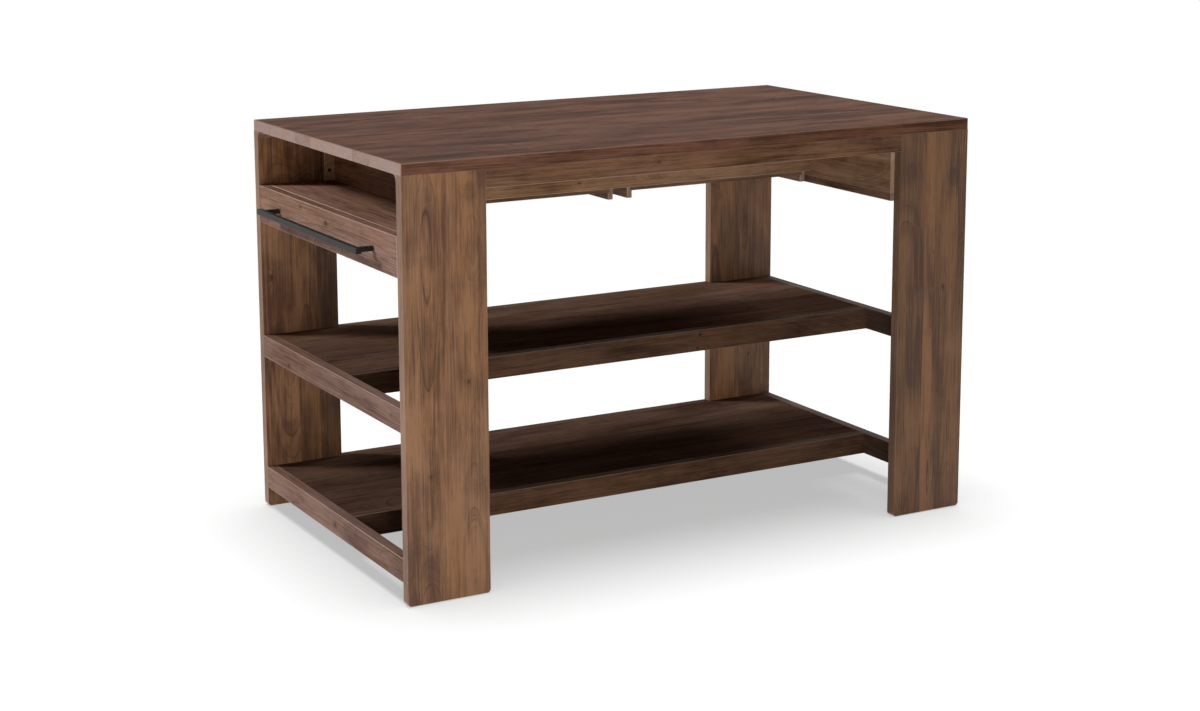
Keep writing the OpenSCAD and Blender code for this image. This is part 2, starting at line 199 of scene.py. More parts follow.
class Wire:
    """A socket that carries one number: maths on it adds Math nodes."""

    def __init__(self, finish, socket):
        self.finish, self.socket = finish, socket

    def maths(self, operation, *terms, clamp=False):
        """A Math node on those numbers or Wires."""
        return self.finish.node(
            "ShaderNodeMath", {"operation": operation, "use_clamp": clamp}, dict(enumerate(terms))
        )

    def __add__(self, other):
        return self.maths("ADD", self, other)

    def __sub__(self, other):
        return self.maths("SUBTRACT", self, other)

    def __rsub__(self, other):
        return self.maths("SUBTRACT", other, self)

    def __mul__(self, other):
        return self.maths("MULTIPLY", self, other)

    def __truediv__(self, other):
        return self.maths("DIVIDE", self, other)

    def __rtruediv__(self, other):
        return self.maths("DIVIDE", other, self)

    def __pow__(self, other):
        return self.maths("POWER", self, other)

    __radd__ = __add__
    __rmul__ = __mul__

    def root(self):
        return self.maths("SQRT", self)

    def part(self):
        """What is left of the number past its whole part."""
        return self.maths("FRACT", self)

    def whole(self):
        return self.maths("FLOOR", self)

    def exp(self):
        return self.maths("EXPONENT", self)

    def held(self):
        """The number held between 0 and 1."""
        return self.maths("ADD", self, 0.0, clamp=True)

    def ramp(self, start, end):
        """0 before start, 1 after end and a soft curve between; start may be above end."""
        flip = start > end
        low, high = (end, start) if flip else (start, end)
        return self.finish.node(
            "ShaderNodeMapRange",
            {"interpolation_type": "SMOOTHSTEP", "clamp": True},
            {"Value": self, "From Min": low, "From Max": high,
             "To Min": 1.0 if flip else 0.0, "To Max": 0.0 if flip else 1.0},
        )


class Finish:
    """The node tree of a new material or world, built from expressions."""

    def __init__(self, holder, output="ShaderNodeOutputMaterial"):
        self.holder = holder
        holder.use_nodes = True
        self.tree = holder.node_tree
        self.tree.nodes.clear()
        self.output = self.tree.nodes.new(output)

    def plug(self, value, socket):
        """Links a Wire to a socket, or sets the socket; a colour may leave out its alpha."""
        if isinstance(value, Wire):
            self.tree.links.new(value.socket, socket)
        elif socket.type == "RGBA" and len(value) == 3:
            socket.default_value = (*value, 1.0)
        else:
            socket.default_value = value

    def node(self, kind, settings=None, inputs=None, output=0):
        """Adds a node, sets it up, fills its sockets and gives one of its outputs as a Wire."""
        made = self.tree.nodes.new(kind)
        for setting, value in (settings or {}).items():
            setattr(made, setting, value)
        for socket, value in (inputs or {}).items():
            self.plug(value, made.inputs[socket])
        return Wire(self, made.outputs[output])

    def attribute(self, name, output="Vector"):
        return self.node(
            "ShaderNodeAttribute", {"attribute_type": "GEOMETRY", "attribute_name": name}, output=output
        )

    def split(self, vector):
        """The three numbers of a vector."""
        made = self.node("ShaderNodeSeparateXYZ", None, {0: vector}).socket.node
        return [Wire(self, output) for output in made.outputs]

    def joined(self, x, y, z):
        return self.node("ShaderNodeCombineXYZ", None, {0: x, 1: y, 2: z})

    def stretched(self, vector, scale, shift):
        """vector times scale, plus shift."""
        return self.node(
            "ShaderNodeVectorMath", {"operation": "MULTIPLY_ADD"}, {0: vector, 1: scale, 2: shift}
        )

    def noise(self, vector, detail=2.0, roughness=0.5, scale=1.0):
        return self.node(
            "ShaderNodeTexNoise", {"noise_dimensions": "3D"},
            {"Vector": vector, "Scale": scale, "Detail": detail, "Roughness": roughness},
        )

    def blend(self, share, first, second, how="MIX"):
        """One colour into another; as MULTIPLY, the second darkens the first."""
        factor, colour_a, colour_b, colour_out = 0, 6, 7, 2
        return self.node(
            "ShaderNodeMix", {"data_type": "RGBA", "blend_type": how, "clamp_factor": True},
            {factor: share, colour_a: first, colour_b: second}, colour_out,
        )

    def grey(self, number):
        """A number as a grey colour."""
        return self.joined(number, number, number)

    def bump(self, height, strength, distance):
        return self.node(
            "ShaderNodeBump", None, {"Height": height, "Strength": strength, "Distance": distance}
        )

    def seen(self):
        """1 for what the camera sees, straight on or in a reflection or through glass, else 0."""
        rays = self.node("ShaderNodeLightPath").socket.node.outputs
        ways = ("Is Camera Ray", "Is Glossy Ray", "Is Transmission Ray")
        straight, mirrored, through = (Wire(self, rays[way]) for way in ways)
        return (straight + mirrored + through).held()

    def ends_in(self, shader):
        """Gives the tree that surface, and gives what holds the tree."""
        self.plug(shader, self.output.inputs["Surface"])
        return self.holder

    def surface(self, **inputs):
        """Ends the tree in a Principled shader; keyword names are its sockets with _ for a space."""
        sockets = {name.replace("_", " "): value for name, value in inputs.items()}
        return self.ends_in(self.node("ShaderNodeBsdfPrincipled", None, sockets))


# ---------------------------------------------------------------------------
# Finishes
# ---------------------------------------------------------------------------


def wood(name, pale, deep, ring, rings=1.0, mottle=1.0, gloss=0.5, sheen=0.4, sawn_end=None):
    """Oiled hardwood, read from the wood frame that each stave carries in its corners.

    grain is along, across and into the stave, measured from the heart of the tree;
    stave is its tone, the bow of its rings and its seed; knot is the way from its knot in
    knot radii, with the knot's darkness; cut is 1 on end grain and a share on the narrow sides
    of legs, where the end-grain colour paints a sheen; rub is 1 on eased
    arrises, which are made paler as wear and as a painted highlight; mark is the radius of one
    dark ring; warmth is 1 where the oil has gone golden all over.
    ring is the usual distance between rings, and rings how dark they are; mottle is how
    cloudy the wood is, gloss its roughness, sheen how strongly it mirrors, and sawn_end
    the colour of its end grain, paler than the wood; on the worktop that pale pink is a painted sheen.
    """
    f = Finish(bpy.data.materials.new(name))
    grain, stave, knot = (f.attribute(n) for n in ("grain", "stave", "knot"))
    cut, rub, mark, warmth = (f.attribute(n, "Fac") for n in ("cut", "rub", "mark", "warmth"))
    along, across, into = f.split(grain)
    tone, bow, seed = f.split(stave)
    knot_along, knot_across, knot_dark = f.split(knot)
    shift = f.joined(seed * 7.31, seed * 3.17, seed * 5.53)

    def figure(lengthwise, sideways, start=shift, **look):
        """Noise with that many changes in a metre along the grain and across it."""
        return f.noise(f.stretched(grain, (lengthwise, sideways, sideways), start), **look)

    broad = figure(2.2, 8.0, detail=1.5)                    # wide waves of the rings
    close = figure(9.0, 48.0)                               # small waves of the rings
    patch = figure(5.0, 17.0, detail=4.0, roughness=0.58)   # clouds in the colour
    streak = figure(1.3, 34.0, detail=2.5)                  # long dark streaks
    curl = figure(38.0, 11.0, detail=1.0)                   # ripples across the grain
    elsewhere = f.stretched(shift, (2.0, 2.0, 2.0), (3.0, 5.0, 9.0))
    glow = figure(1.9, 9.0, start=elsewhere)                # golden parts, apart from the waves
    fibre = figure(7.0, 330.0, detail=4.0, roughness=0.72)
    thread = figure(4.0, 150.0, detail=3.0, roughness=0.7)  # bundles of fibres
    pore = figure(30.0, 620.0, detail=1.0)

    # How far each point lies from the heart. The knot pushes the rings round it.
    knot_way = (knot_along * knot_along * 0.45 + knot_across * knot_across).root()
    knot_push = (knot_way * knot_way * -0.11).exp()
    level = into + bow * along * along
    radius = (across * across + level * level).root()
    radius = radius + (broad - 0.5) * 0.022 + (close - 0.5) * 0.0022 + knot_push * 0.016

    # Rings of uneven width: each darkens slowly, ends in a thin line and has a weight of its own.
    pace = f.node(
        "ShaderNodeTexNoise", {"noise_dimensions": "1D"}, {"W": radius * 31.0 + seed, "Detail": 1.0}
    )
    count = radius / ring + (pace - 0.5) * 2.4
    phase = count.part()
    weight = f.node(
        "ShaderNodeTexWhiteNoise", {"noise_dimensions": "1D"}, {"W": count.whole() + seed * 13.0}
    )
    shut = phase.ramp(1.0, 0.97)
    band = phase.ramp(0.25, 0.97) * shut * (weight * 0.45 + 0.1)
    line = phase.ramp(0.86, 0.965) * shut * (weight ** 7 * 0.8 + 0.06)
    mark_width = 0.001
    off_mark = (radius - mark) / mark_width
    line = (line + (off_mark * off_mark * -1.0).exp() * patch.ramp(0.3, 0.65) * 0.9).held()

    heart = knot_way.ramp(1.15, 0.6) * knot_dark
    halo = (knot_way * knot_way * -0.35).exp() * knot_dark

    # How far the colour goes from early to late wood.
    depth = (
        0.34
        + (patch - 0.5) * (2.3 * mottle)
        + (broad - 0.5) * mottle
        + streak.ramp(0.5, 0.72) * (0.22 * mottle)
        + (curl - 0.5) * 0.22
        + (fibre - 0.5) * 2.2
        + (thread - 0.5) * 1.1
        + band * (0.55 * rings)
        + line * (0.8 * rings)
        + halo * 0.5
        + cut * 0.15
        # Eased arrises are paler: partly wear, partly a painted highlight.
        - rub * 0.3
    ).held()
    colour = f.blend(depth, pale, deep)
    # End grain takes its own colour; on the worktop's end and on the legs' narrow sides that pale colour is a
    # painted sheen.
    colour = f.blend(cut * 0.7, colour, sawn_end or tinted(pale, 0.9, 0.11))
    colour = f.blend(cut * fibre.ramp(0.5, 0.66) * 0.5, colour, deep)
    # Painted highlight along the eased arrises, with some wear: they turn pale and mauve.
    colour = f.blend(rub * 0.6, colour, tinted(pale, 1.5, 0.11))
    colour = f.blend((line * rings + heart * 0.85).held(), colour, tinted(deep, 0.42))
    colour = f.blend(pore.ramp(0.60, 0.72) * 0.32, colour, tinted(deep, 0.55))
    golden = (glow.ramp(0.42, 0.66) * 0.8 + warmth).held()
    colour = f.blend(golden, colour, (1.0, 0.93, 0.78), "MULTIPLY")
    colour = f.blend(1.0, colour, f.grey(tone), "MULTIPLY")

    rough = gloss + (fibre - 0.5) * 0.2 + (patch - 0.5) * 0.12 + cut * 0.12
    height = fibre * 0.5 + band * 0.3 - pore.ramp(0.58, 0.72) * 0.9 + patch * 0.4
    return f.surface(
        Base_Color=colour,
        Roughness=rough,
        Normal=f.bump(height, 0.3, 0.0003),
        Specular_IOR_Level=sheen,
    )


def powder_coat(name, colour):
    """Fine-textured dark powder coat on steel."""
    f = Finish(bpy.data.materials.new(name))
    place = f.node("ShaderNodeTexCoord", output="Object")
    speck = f.noise(place, detail=2.0, scale=1900.0)
    cloud = f.noise(place, detail=2.0, scale=22.0)
    return f.surface(
        Base_Color=f.blend(cloud.ramp(0.3, 0.7), tinted(colour, 0.8), colour),
        Metallic=0.0,
        Roughness=0.46 + (cloud - 0.5) * 0.12 + (speck - 0.5) * 0.08,
        Normal=f.bump(speck, 0.16, 0.0001),
        Specular_IOR_Level=0.16,
    )


def blackened_steel(name, colour):
    """Turned and blackened screws, worn a little in small patches."""
    f = Finish(bpy.data.materials.new(name))
    place = f.node("ShaderNodeTexCoord", output="Object")
    scuff = f.noise(place, detail=3.0, scale=420.0)
    return f.surface(
        Base_Color=f.blend(scuff.ramp(0.45, 0.7), colour, tinted(colour, 2.2)),
        Metallic=1.0,
        Roughness=0.42 + (scuff - 0.5) * 0.3,
        Normal=f.bump(scuff, 0.1, 0.0001),
    )


def pressed_felt(name, colour):
    """Pressed felt with stray fibres."""
    f = Finish(bpy.data.materials.new(name))
    place = f.node("ShaderNodeTexCoord", output="Object")
    fibres = f.noise(place, detail=4.0, roughness=0.7, scale=1300.0)
    clumps = f.noise(place, detail=2.0, scale=240.0)
    thick = (fibres * 0.7 + clumps * 0.5).ramp(0.35, 0.85)
    return f.surface(
        Base_Color=f.blend(thick, tinted(colour, 0.6), colour),
        Roughness=0.96,
        Normal=f.bump(fibres + clumps, 0.6, 0.0004),
        Sheen_Weight=0.25,
        Sheen_Roughness=0.5,
    )


def finish_for(slot):
    """The material of one of the record's slots, made once."""
    name = "finish_" + slot
    if name in bpy.data.materials:
        return bpy.data.materials[name]
    c = bpy.context.scene.island_finish
    ring = bpy.context.scene.island_work.ring
    kind = slot.removesuffix("_wood")
    looks = {
        # The worktop's pale pink end grain is partly end grain, partly a painted sheen from the light at the
        # left.
        "top": dict(rings=0.6, mottle=1.15, gloss=0.62, sheen=0.03, sawn_end=shade(206, 180, 172)),
        "leg": dict(rings=1.0, mottle=1.25),
        "rail": dict(rings=0.7, mottle=1.0, gloss=0.62, sheen=0.02),
        "end": dict(rings=0.6, mottle=0.8, gloss=0.58, sheen=0.08),
        "shelf": dict(rings=0.5, mottle=0.6, gloss=0.66, sheen=0.0),
        "inner": dict(rings=0.7, mottle=1.0, sheen=0.15),
        "box": dict(rings=0.5, mottle=0.5, gloss=0.6),
    }
    if kind in looks:
        pale, deep = (tuple(getattr(c, f"{kind}_{part}")) for part in ("pale", "deep"))
        return wood(name, pale, deep, ring, **looks[kind])
    if slot == "pull_metal":
        return powder_coat(name, tuple(c.pull))
    if slot == "screw_steel":
        return blackened_steel(name, tuple(c.screw))
    if slot == "felt":
        return pressed_felt(name, tuple(c.felt))
    raise ValueError(f"no finish is written for slot {slot!r}")


# ---------------------------------------------------------------------------
# Boards
# ---------------------------------------------------------------------------


class Stave(NamedTuple):
    """How one stave was sawn from its tree. Metres, from the board's low corner."""

    heart: float            # where the heart lies, across the board
    depth: float            # how far the heart lies behind the face
    middle: float           # where the rings run level with the face, along the board
    bow: float              # how fast they leave it, per metre
    tilt: float = 0.0       # lean of the rings along the board
    tone: float = 1.0       # lighter or darker than its neighbours
    knots: tuple = ()       # each: along, across, radius, darkness
    mark: float = 0.0       # radius of one dark ring, or 0 for none

    def knot_at(self, along):
        """The knot nearest to that place along the board; on clear wood, one too far off to show."""
        too_far = (60.0, 0.0, 0.01, 0.0)
        return min(self.knots or (too_far,), key=lambda knot: abs(knot[0] - along))

    def breaks(self):
        """Half way between each knot and the next."""
        places = sorted(knot[0] for knot in self.knots)
        return [(a + b) / 2 for a, b in zip(places, places[1:])]


def sawn(rng, low, high, length):
    """A stave sawn anywhere from a tree: low and high are its edges across the board."""
    width = high - low
    shortest_with_knots = 0.2
    knots = tuple(
        (
            rng.uniform(0.05, 0.95) * length,
            rng.uniform(low + 0.15 * width, high - 0.15 * width),
            rng.uniform(0.0022, 0.006),
            rng.uniform(0.35, 0.95),
        )
        for _ in range(rng.choice((0, 0, 0, 1, 1, 2)) if length > shortest_with_knots else 0)
    )
    rise = rng.uniform(0.012, 0.05) * rng.choice((-1, 1))
    return Stave(
        heart=(low + high) / 2 + rng.uniform(-0.55, 0.55) * width,
        depth=rng.uniform(0.03, 0.085),
        middle=rng.uniform(0.25, 0.75) * length,
        bow=rise / (length / 2) ** 2,
        tilt=rng.uniform(-0.02, 0.02),
        tone=rng.gauss(1.0, 0.055),
        knots=knots,
    )


def solids(bm):
    """The separate solids of a mesh, each as the list of its faces."""
    left, found = set(bm.faces), []
    for start in bm.faces:
        if start not in left:
            continue
        left.remove(start)
        group, front = [start], [start]
        while front:
            for edge in front.pop().edges:
                for other in edge.link_faces:
                    if other in left:
                        left.remove(other)
                        group.append(other)
                        front.append(other)
        found.append(group)
    return found


def lone_solids(node):
    """The CAD node's solids, each in a mesh of its own with whole flat faces."""
    bm = bmesh.new()
    bm.from_mesh(frame["nodes"][node].data)
    bmesh.ops.remove_doubles(bm, verts=bm.verts, dist=SAME_POINT)
    bmesh.ops.dissolve_limit(
        bm, angle_limit=math.radians(FLAT), verts=bm.verts, edges=bm.edges, use_dissolve_boundaries=False
    )
    made = []
    for faces in solids(bm):
        lone = bmesh.new()
        verts = {}
        for face in faces:
            for v in face.verts:
                if v not in verts:
                    verts[v] = lone.verts.new(v.co)
        for face in faces:
            lone.faces.new([verts[v] for v in face.verts])
        lone.normal_update()
        made.append(lone)
    bm.free()
    made.sort(key=lambda m: tuple(round(c, 4) for c in reach(m)[0]))
    return made


def reach(bm):
    """Lowest and highest corner of a mesh."""
    points = [v.co for v in bm.verts]
    return (
        Vector(min(p[i] for p in points) for i in range(3)),
        Vector(max(p[i] for p in points) for i in range(3)),
    )


def square_to(face, axis):
    """Whether a face is square to an axis."""
    return abs(face.normal[axis]) > 0.999


def ease(bm, edges, radius, steps=3):
    """Rounds edges over, and shades only the rounding smooth."""
    made = bmesh.ops.bevel(
        bm, geom=edges, offset=radius, offset_type="OFFSET", segments=steps, profile=0.5,
        affect="EDGES", clamp_overlap=True,
    )
    for face in made["faces"]:
        face.smooth = True


def outer_edges(bm, tight):
    """The edges where two sides of the solid's own box meet: the open ones, and those on a tight side."""
    low, high = reach(bm)

    def side_of(face):
        """The side of the box that a face lies on, such as "+Z", or None."""
        n = face.normal
        axis = max(range(3), key=lambda i: abs(n[i]))
        outer = high if n[axis] > 0 else low
        on_box = square_to(face, axis) and abs(face.calc_center_median()[axis] - outer[axis]) < ON_BOX
        return ("+" if n[axis] > 0 else "-") + "XYZ"[axis] if on_box else None

    open_edges, tight_edges = [], []
    for edge in bm.edges:
        sides = [side_of(face) for face in edge.link_faces]
        if len(sides) == 2 and None not in sides and edge.calc_face_angle(0.0) > CORNER:
            (tight_edges if set(sides) & set(tight) else open_edges).append(edge)
    return open_edges, tight_edges


def slot_of(node):
    """The slot that the record gives a node."""
    return next(part["material_slot"] for part in frame["record"]["subparts"] if part["node"] == node)


def gathered(parts, node, kind):
    """Joins meshes into the one piece that stands for a CAD node, with its finish and its body."""
    name, slot = f"{node}_{kind}", slot_of(node)
    whole = bmesh.new()
    for part in parts:
        scratch = bpy.data.meshes.new("scratch")
        part.to_mesh(scratch)
        whole.from_mesh(scratch)
        part.free()
        bpy.data.meshes.remove(scratch)
    mesh = bpy.data.meshes.new(name)
    whole.to_mesh(mesh)
    whole.free()
    mesh.materials.append(finish_for(slot))
    piece = bpy.data.objects.new(name, mesh)
    bpy.context.scene.collection.objects.link(piece)
    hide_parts(node)
    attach(piece, frame["nodes"][node]["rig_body"])


def joints_across(rng, width, usual):
    """Where a board of that width is glued up, from its low edge."""
    count = max(1, round(width / usual))
    gap, uneven = width / count, 0.16
    return [gap * (i + rng.uniform(-uneven, uneven)) for i in range(1, count)]


def score(bm, axis, places):
    """Cuts a mesh's faces, not the solid, where planes across an axis meet them."""
    for place in places:
        point, normal = Vector((0, 0, 0)), Vector((0, 0, 0))
        point[axis], normal[axis] = place, 1
        bmesh.ops.bisect_plane(
            bm, geom=bm.verts[:] + bm.edges[:] + bm.faces[:], dist=1e-6, plane_co=point, plane_no=normal,
        )


def round_feet(bm, radius):
    """Rounds the two low corners of a leg board."""
    low, high = reach(bm)
    near = 1e-4
    corners = [
        e for e in bm.edges
        if all(v.co.z < low.z + near for v in e.verts)
        and any(all(abs(v.co.x - side) < near for v in e.verts) for side in (low.x, high.x))
    ]
    ease(bm, corners, radius, steps=6)


def board(
    node, tight=(), joints=None, staves=None, tones=None, arris=None, along=None,
    tone=1.0, warmth=0.0, feet=0.0, edge=0.0,
):
    """Makes a node's boards: eased edges, glued-up staves and the wood frame of each stave.

    tight are the sides that butt against another board, such as "+Z"; joints are the glue
    lines from the low edge; staves gives a Stave for some of them by number, and tones
    darkens or lightens some; arris is how far the open edges are eased; along is the axis
    that the grain follows, such as "Z", or the longest if left out; tone darkens or
    lightens the whole board, and warmth makes it golden; feet is the radius of the low
    corners of a leg, and edge how far its narrow sides take the end-grain colour as a painted sheen.
    """
    work = bpy.context.scene.island_work
    rng = random.Random(f"{work.seed} {node}")
    parts = lone_solids(node)
    for part in parts:
        low, high = reach(part)
        size = high - low
        a_axis, p_axis, q_axis = sorted(range(3), key=lambda i: ("XYZ"[i] != along, -size[i]))
        if feet:
            round_feet(part, feet)
        ease(part, outer_edges(part, tight)[0], arris or work.arris)
        if tight:
            ease(part, outer_edges(part, tight)[1], work.joint_arris, steps=1)
        cuts = joints if joints is not None else joints_across(rng, size[p_axis], work.stave)
        limits = [0.0, *cuts, size[p_axis]]
        sawn_staves = [
            sawn(rng, limits[i], limits[i + 1], size[a_axis]) for i in range(len(limits) - 1)
        ]
        for number, stave in (staves or {}).items():
            sawn_staves[number] = stave
        for number, own_tone in (tones or {}).items():
            sawn_staves[number] = sawn_staves[number]._replace(tone=own_tone)
        seeds = [rng.uniform(1, 40) for _ in sawn_staves]
        score(part, p_axis, [low[p_axis] + cut for cut in cuts])
        score(part, a_axis, [low[a_axis] + cut for stave in sawn_staves for cut in stave.breaks()])
        bmesh.ops.remove_doubles(part, verts=part.verts, dist=SLIVER)
        layers = part.loops.layers
        grain, info, knot = (layers.float_vector.new(n) for n in ("grain", "stave", "knot"))
        end_grain_and_sheen_layer, arris_wear_and_highlight_layer, marked, golden = (layers.float.new(n) for n in ("cut", "rub", "mark", "warmth"))
        for face in part.faces:
            middle = face.calc_center_median()
            place = middle[p_axis] - low[p_axis]
            number = sum(place > cut for cut in cuts)
            s, seed = sawn_staves[number], seeds[number]
            knot_a, knot_p, knot_r, knot_dark = s.knot_at(middle[a_axis] - low[a_axis])
            is_end = abs(face.normal[a_axis]) > 0.7
            is_edge = abs(face.normal[p_axis]) > 0.9
            for loop in face.loops:
                x = loop.vert.co - low
                a = x[a_axis] - s.middle
                loop[grain] = (a, x[p_axis] - s.heart, x[q_axis] + s.depth + s.tilt * a)
                loop[info] = (s.tone * tone, s.bow, seed)
                loop[knot] = ((x[a_axis] - knot_a) / knot_r, (x[p_axis] - knot_p) / knot_r, knot_dark)
                # End grain gets 1; the narrow sides get edge, a painted sheen in the end-grain colour.
                loop[end_grain_and_sheen_layer] = 1.0 if is_end else edge if is_edge else 0.0
                # Eased faces take the paler arris colour: wear and a painted highlight.
                loop[arris_wear_and_highlight_layer] = 1.0 if face.smooth else 0.0
                loop[marked] = s.mark
                loop[golden] = warmth
    gathered(parts, node, "board")


# ---------------------------------------------------------------------------
# Pulls, screws and glides
# ---------------------------------------------------------------------------


def corner_edges(bm, shortest=0.0):
    """Outward edges at corners, longer than shortest."""
    return [
        e for e in bm.edges
        if e.is_convex and e.calc_face_angle(0.0) > CORNER and e.calc_length() > shortest
    ]


def pull(node, arris):
    """A square bar on two square posts, its edges eased."""
    parts = lone_solids(node)
    for part in parts:
        ease(part, corner_edges(part, shortest=0.005), arris, steps=2)
    gathered(parts, node, "bar")


def head_cap(bm):
    """The flat end of a screw's head: the larger of its two ends."""
    low, high = reach(bm)
    axis = max(range(3), key=lambda i: high[i] - low[i])
    ends = [
        f for f in bm.faces
        if square_to(f, axis)
        and min(abs(f.calc_center_median()[axis] - end[axis]) for end in (low, high)) < SAME_POINT
    ]
    return max(ends, key=lambda f: f.calc_area()), axis


def cross_recess(bm, depth=0.0015):
    """Sinks a cross for the driver into a screw's head."""
    cap, axis = head_cap(bm)
    centre, outward = cap.calc_center_median(), cap.normal.copy()
    side, up = (Vector([1.0 if i == other else 0.0 for i in range(3)]) for other in range(3) if other != axis)
    head = max((v.co - centre).length for v in cap.verts)
    arm, half, taper = head * 0.62, head * 0.13, 0.7
    outline = [
        (arm, -half), (arm, half), (half, half), (half, arm), (-half, arm), (-half, half),
        (-arm, half), (-arm, -half), (-half, -half), (-half, -arm), (half, -arm), (half, -half),
    ]
    rim = list(cap.edges)
    brink = [bm.verts.new(centre + side * x + up * y) for x, y in outline]
    floor = [bm.verts.new(centre + (side * x + up * y) * taper - outward * depth) for x, y in outline]
    bmesh.ops.delete(bm, geom=[cap], context="FACES_ONLY")
    pairs = list(zip(brink, brink[1:] + brink[:1]))
    outlines = rim + [bm.edges.new(pair) for pair in pairs]
    bmesh.ops.triangle_fill(bm, use_beauty=True, use_dissolve=False, edges=outlines)
    for (a, b), (c, d) in zip(pairs, zip(floor, floor[1:] + floor[:1])):
        bm.faces.new((a, b, d, c))
    bm.faces.new(floor)
    bmesh.ops.recalc_face_normals(bm, faces=bm.faces[:])


def screws(node):
    """Screws with eased heads and a cross recess for the driver."""
    parts = lone_solids(node)
    for part in parts:
        ease(part, list(head_cap(part)[0].edges), SCREW_RIM, steps=2)
        cross_recess(part)
    gathered(parts, node, "steel")


def glides(node):
    """Felt discs with rounded rims."""
    parts = lone_solids(node)
    for part in parts:
        ease(part, corner_edges(part), GLIDE_RIM)
    gathered(parts, node, "discs")


# ---------------------------------------------------------------------------
# Operators
# ---------------------------------------------------------------------------


class ISLAND_OT_worktop(bpy.types.Operator):
    """Makes the worktop from long staves glued edge to edge"""

    bl_idname = "island.worktop"
    bl_label = "Worktop"

    def execute(self, context):
        board(
            "worktop",
            tight=("-Z",),
            joints=[0.078, 0.155, 0.243, 0.345, 0.402, 0.470, 0.560, 0.645, 0.728],
            tones={2: 0.90, 5: 1.07, 6: 0.88},
            arris=context.scene.island_work.top_arris,
        )
        return {"FINISHED"}


class ISLAND_OT_legs(bpy.types.Operator):
    """Makes the four leg boards, each glued up from two or three staves"""

    bl_idname = "island.legs"
    bl_label = "Leg boards"

    def execute(self, context):
        foot = context.scene.island_work.foot
        board(
            "leg_seat_left",
            tight=("+Z",),
            joints=[0.098],
            staves={
                0: Stave(
                    heart=0.052, depth=0.032, middle=0.330, bow=-0.19, tone=1.02,
                    knots=((0.085, 0.052, 0.013, 0.35), (0.267, 0.055, 0.003, 0.8)), mark=0.0145,
                ),
                1: Stave(
                    heart=0.152, depth=0.060, middle=0.540, bow=-0.23, tone=0.97,
                    knots=((0.455, 0.143, 0.0035, 0.8), (0.845, 0.150, 0.015, 0.4)),
                ),
            },
            feet=foot, edge=LEG_SIDE_SHEEN,
        )
        board(
            "leg_seat_right",
            tight=("+Z",),
            joints=[0.072, 0.100],
            staves={
                0: Stave(
                    heart=0.020, depth=0.055, middle=0.300, bow=0.12, tone=0.68,
                    knots=((0.800, 0.030, 0.017, 0.5),),
                ),
                1: Stave(heart=0.096, depth=0.020, middle=0.420, bow=-0.16, tone=0.86),
                2: Stave(
                    heart=0.150, depth=0.030, middle=0.420, bow=-0.16, tone=0.74,
                    knots=((0.528, 0.127, 0.004, 0.9), (0.780, 0.150, 0.018, 0.5)),
                ),
            },
            warmth=1.0, feet=foot, edge=LEG_SIDE_SHEEN,
        )
        board(
            "leg_work_left",
            tight=("+Z",),
            joints=[0.084, 0.136],
            staves={
                0: Stave(
                    heart=0.060, depth=0.045, middle=0.500, bow=0.20, tone=0.94,
                    knots=((0.545, 0.024, 0.0035, 1.0), (0.830, 0.075, 0.013, 0.5)),
                ),
            },
            # The staves darken towards the inner edge: painted shade where the front leg shadows this board.
            tones={1: 0.84, 2: 0.66},
            tone=1.15, warmth=0.15, feet=foot, edge=LEG_SIDE_SHEEN,
        )
        board(
            "leg_work_right", tight=("+Z",), joints=[0.090],
            tone=0.86, warmth=0.5, feet=foot, edge=LEG_SIDE_SHEEN,
        )
        return {"FINISHED"}


class ISLAND_OT_rails(bpy.types.Operator):
    """Makes the two long rails under the worktop"""

    bl_idname = "island.rails"
    bl_label = "Long rails"

    def execute(self, context):
        for node in ("seat_rail", "work_rail"):
            board(node, tight=("+Z", "-X", "+X"), tone=0.95)
        return {"FINISHED"}


class ISLAND_OT_drawer_bay(bpy.types.Operator):
    """Makes the bay of the wide drawers: back board, walls, cleats, guides and floors"""

    bl_idname = "island.drawer_bay"
    bl_label = "Drawer bay"

    def execute(self, context):
        board("bay_back_board", tight=("+Z", "-X", "+X"), tone=1.3)
        board("bay_stile", tight=("+Z", "-X", "+X"))
        for side in ("left", "right"):
            # Both walls are lightened well above the wood's own colour as painted light for the shade they
            # stand in under the worktop, the left one more.
            board(f"wall_{side}", tight=("+Z", "-Z", "-Y", "+Y"), tone=2.4 if side == "left" else 1.55)
            board(f"guide_outer_{side}", tight=("+Z",))
            board(f"guide_inner_{side}", tight=("+Z",))
            board(f"bay_floor_{side}", tight=("-X", "+X", "-Y"))
        board("wall_cleats", tight=("+Z", "-Y", "+Y"))
        return {"FINISHED"}


class ISLAND_OT_niches(bpy.types.Operator):
    """Makes the end niches: floors, rail, battens and coves"""

    bl_idname = "island.niches"
    bl_label = "End niches"

    def execute(self, context):
        # The left niche floor is lightened as painted light for the shade it lies in under the worktop.
        board("niche_floor_left", tight=("+X", "-Y", "+Y"), tone=2.2)
        board("niche_floor_right", tight=("-X", "+X", "-Y", "+Y"))
        board("niche_rail_right", tight=("-X", "-Y", "+Y"))
        board("niche_battens", tight=("+Z", "-Z"), arris=BATTEN_ARRIS, along="Z", tone=1.7)
        board("corner_coves", arris=COVE_ARRIS, along="X")
        return {"FINISHED"}


